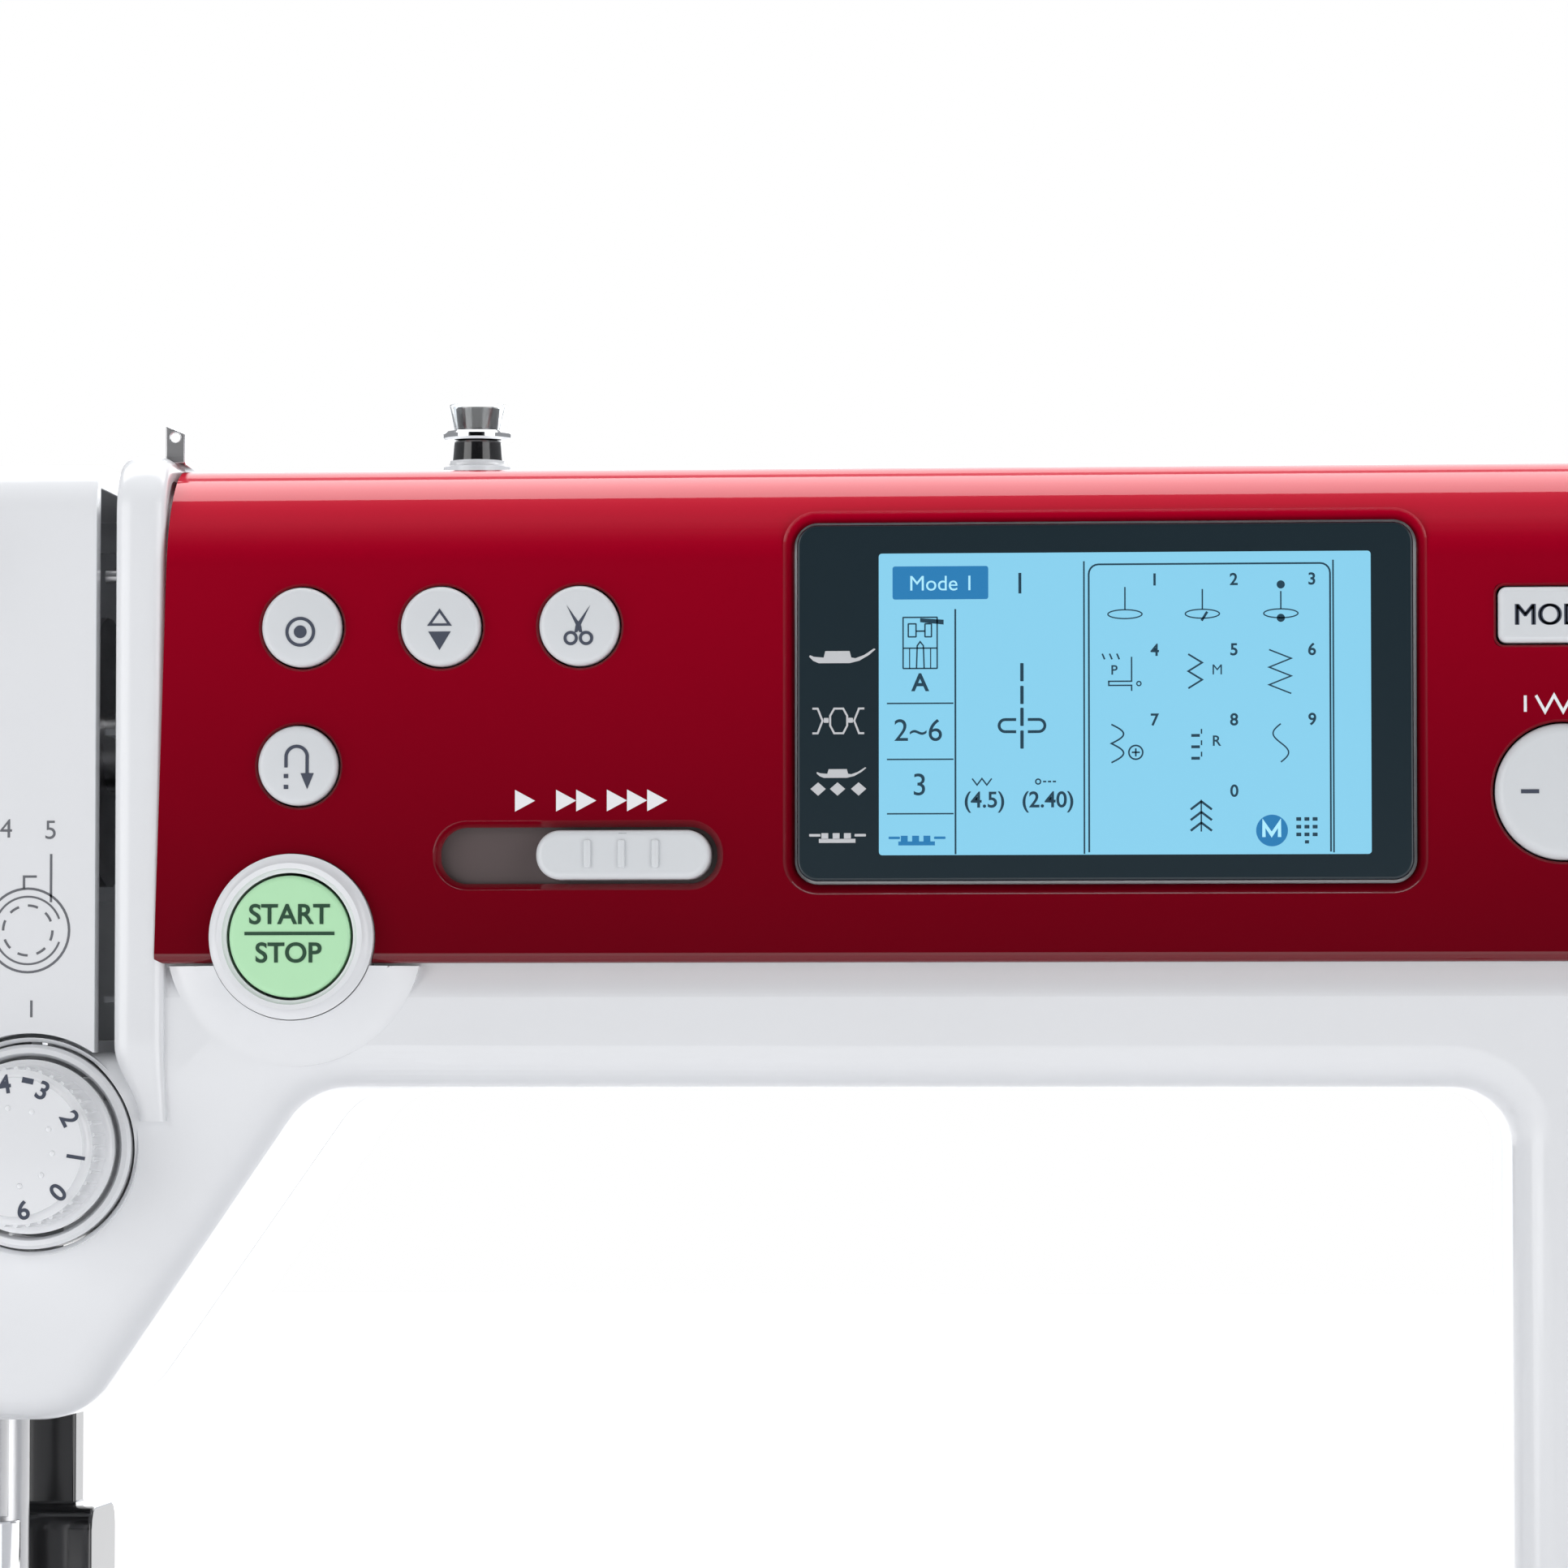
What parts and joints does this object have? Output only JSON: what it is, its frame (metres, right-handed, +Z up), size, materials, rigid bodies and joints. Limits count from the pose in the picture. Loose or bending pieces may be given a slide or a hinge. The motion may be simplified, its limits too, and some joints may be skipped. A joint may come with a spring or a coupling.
{
  "type": "sewing machine",
  "caption": "Household computerised free-arm sewing machine with a red control panel, display, tension dial, drop-in hook, removable table and its drive train.",
  "frame": {"origin": "middle of the machine's bounding box, on the surface it stands on", "axes": "+X along the arm towards the handwheel, -Y towards the operator, +Z up"},
  "size_m": [0.4003, 0.17, 0.2845],
  "materials": {
    "white_shell": "gloss",
    "grey_plastic": "satin",
    "red_panel": "gloss",
    "start_lens": "satin",
    "black_plastic": "gloss",
    "screen_glass": "gloss",
    "lcd": "gloss",
    "board": "satin",
    "steel": "satin",
    "chrome": "mirror",
    "cast_frame": "satin",
    "rubber": "matte",
    "clear_plastic": "gloss"
  },
  "bodies": {
    "machine": {"arm_frame": "cast_frame", "base_tray": "grey_plastic", "bed_housing": "white_shell", "bobbin_case": "black_plastic", "control_panel": "red_panel", "drive_belt": "rubber", "drive_motor": "steel", "face_cover": "white_shell", "foot_front_left": "rubber", "foot_front_right": "rubber", "foot_rear_left": "rubber", "foot_rear_right": "rubber", "free_arm_shell": "white_shell", "front_shell": "white_shell", "hook_cover": "clear_plastic", "lcd_module": "lcd", "main_board": "board", "needle_plate": "steel", "power_socket": "black_plastic", "rear_shell": "white_shell", "screen_window": "screen_glass", "spool_pin": "grey_plastic", "spool_tray": "white_shell", "start_ring": "grey_plastic", "tension_discs": "steel", "thread_guide": "steel", "thread_plate": "white_shell", "timing_belt": "rubber", "winder_guide": "black_plastic"},
    "top_drive": {"upper_shaft": "steel", "handwheel": "white_shell"},
    "bottom_drive": {"lower_shaft": "steel"},
    "hook": {"rotary_hook": "steel"},
    "rotor": {"motor_pulley": "steel"},
    "take_up": {"take_up_lever": "chrome"},
    "needle_unit": {"needle_bar": "steel", "needle_clamp": "chrome", "needle": "chrome"},
    "presser_unit": {"presser_bar": "steel", "foot_holder": "chrome"},
    "foot": {"presser_foot": "chrome"},
    "lifter": {"presser_lifter": "black_plastic"},
    "feed": {"feed_dog": "steel"},
    "dial": {"tension_dial": "white_shell"},
    "lock": {"lock_key": "grey_plastic"},
    "needle_stop": {"needle_key": "grey_plastic"},
    "cutter": {"cutter_key": "grey_plastic"},
    "reverse": {"reverse_key": "grey_plastic"},
    "start": {"start_key": "start_lens"},
    "speed": {"speed_slider": "grey_plastic"},
    "mode": {"mode_key": "grey_plastic"},
    "width": {"width_key": "grey_plastic"},
    "lid": {"top_lid": "white_shell"},
    "spool_stop": {"spool_cap": "grey_plastic"},
    "winder": {"winder_spindle": "black_plastic"},
    "handle": {"carry_handle": "grey_plastic"},
    "table": {"extension_table": "white_shell"},
    "flap": {"storage_flap": "white_shell"},
    "spare_bobbin": {"bobbin": "clear_plastic"},
    "rocker": {"power_switch": "black_plastic"}
  },
  "joints": [
    {"name": "handwheel_turn", "type": "hinge", "parent": "machine", "child": "top_drive", "pos_m": [0, 0, 0.2342], "axis": [1, 0, 0], "continuous": true},
    {"name": "lower_shaft_turn", "type": "hinge", "parent": "machine", "child": "bottom_drive", "pos_m": [0, -0.019, 0.041], "axis": [1, 0, 0], "continuous": true},
    {"name": "hook_turn", "type": "hinge", "parent": "machine", "child": "hook", "pos_m": [-0.138, -0.019, 0.06], "axis": [0, 0, 1], "continuous": true},
    {"name": "motor_turn", "type": "hinge", "parent": "machine", "child": "rotor", "pos_m": [0.16, 0.029, 0.12], "axis": [1, 0, 0], "continuous": true},
    {"name": "take_up_swing", "type": "hinge", "parent": "machine", "child": "take_up", "pos_m": [-0.138, -0.02, 0.2272], "axis": [1, 0, 0], "range_deg": [0, 50]},
    {"name": "needle_bar_stroke", "type": "slide", "parent": "machine", "child": "needle_unit", "axis": [0, 0, 1], "range_m": [-0.03, 0]},
    {"name": "lifter_swing", "type": "hinge", "parent": "machine", "child": "lifter", "pos_m": [-0.138, 0.036, 0.16], "axis": [1, 0, 0], "range_deg": [0, 60]},
    {"name": "presser_lift", "type": "slide", "parent": "machine", "child": "presser_unit", "axis": [0, 0, 1], "range_m": [0, 0.0065]},
    {"name": "foot_tilt", "type": "hinge", "parent": "presser_unit", "child": "foot", "pos_m": [-0.138, 0.01, 0.0862], "axis": [1, 0, 0], "range_deg": [-8, 2], "stiffness_Nm_per_rad": 0.01},
    {"name": "feed_stroke", "type": "slide", "parent": "machine", "child": "feed", "axis": [0, 1, 0], "range_m": [-0.0022, 0.0022]},
    {"name": "tension_turn", "type": "hinge", "parent": "machine", "child": "dial", "pos_m": [-0.1225, -0.049, 0.185], "axis": [0, 1, 0], "range_deg": [-144, 180]},
    {"name": "lock_press", "type": "slide", "parent": "machine", "child": "lock", "axis": [0, 1, 0], "range_m": [0, 0.0012], "stiffness_N_per_m": 600},
    {"name": "needle_press", "type": "slide", "parent": "machine", "child": "needle_stop", "axis": [0, 1, 0], "range_m": [0, 0.0012], "stiffness_N_per_m": 600},
    {"name": "cutter_press", "type": "slide", "parent": "machine", "child": "cutter", "axis": [0, 1, 0], "range_m": [0, 0.0012], "stiffness_N_per_m": 600},
    {"name": "reverse_press", "type": "slide", "parent": "machine", "child": "reverse", "axis": [0, 1, 0], "range_m": [0, 0.0012], "stiffness_N_per_m": 600},
    {"name": "start_press", "type": "slide", "parent": "machine", "child": "start", "axis": [0, 1, 0], "range_m": [0, 0.0015], "stiffness_N_per_m": 600},
    {"name": "speed_slide", "type": "slide", "parent": "machine", "child": "speed", "axis": [1, 0, 0], "range_m": [-0.0113, 0]},
    {"name": "mode_press", "type": "slide", "parent": "machine", "child": "mode", "axis": [0, 1, 0], "range_m": [0, 0.0012], "stiffness_N_per_m": 600},
    {"name": "width_rock", "type": "hinge", "parent": "machine", "child": "width", "pos_m": [0.058, -0.046, 0.226], "axis": [0, 0, 1], "range_deg": [-3, 3], "stiffness_Nm_per_rad": 0.5},
    {"name": "lid_open", "type": "hinge", "parent": "machine", "child": "lid", "pos_m": [0.0125, 0.0407, 0.266], "axis": [1, 0, 0], "range_deg": [-100, 0]},
    {"name": "cap_pull", "type": "slide", "parent": "machine", "child": "spool_stop", "axis": [1, 0, 0], "range_m": [-0.025, 0]},
    {"name": "winder_spin", "type": "hinge", "parent": "machine", "child": "winder", "pos_m": [0.13, -0.02, 0.2665], "axis": [0, 0, 1], "continuous": true},
    {"name": "handle_swing", "type": "hinge", "parent": "machine", "child": "handle", "pos_m": [0.03, 0.056, 0.2522], "axis": [1, 0, 0], "range_deg": [0, 180]},
    {"name": "table_pull", "type": "slide", "parent": "machine", "child": "table", "axis": [1, 0, 0], "range_m": [-0.25, 0]},
    {"name": "flap_open", "type": "hinge", "parent": "table", "child": "flap", "pos_m": [-0.072, -0.085, 0.0193], "axis": [1, 0, 0], "range_deg": [0, 85]},
    {"name": "bobbin_spin", "type": "hinge", "parent": "machine", "child": "spare_bobbin", "pos_m": [-0.138, -0.019, 0.0596], "axis": [0, 0, 1], "continuous": true},
    {"name": "switch_rock", "type": "hinge", "parent": "machine", "child": "rocker", "pos_m": [0.178, -0.006, 0.047], "axis": [0, 1, 0], "range_deg": [-6, 6]}
  ],
  "couplings": [
    {"joint": "lower_shaft_turn", "follows": "handwheel_turn", "ratio": 1},
    {"joint": "hook_turn", "follows": "handwheel_turn", "ratio": -2},
    {"joint": "motor_turn", "follows": "handwheel_turn", "ratio": 3.9286},
    {"joint": "presser_lift", "follows": "lifter_swing", "m_per_rad": 0.0062}
  ]
}
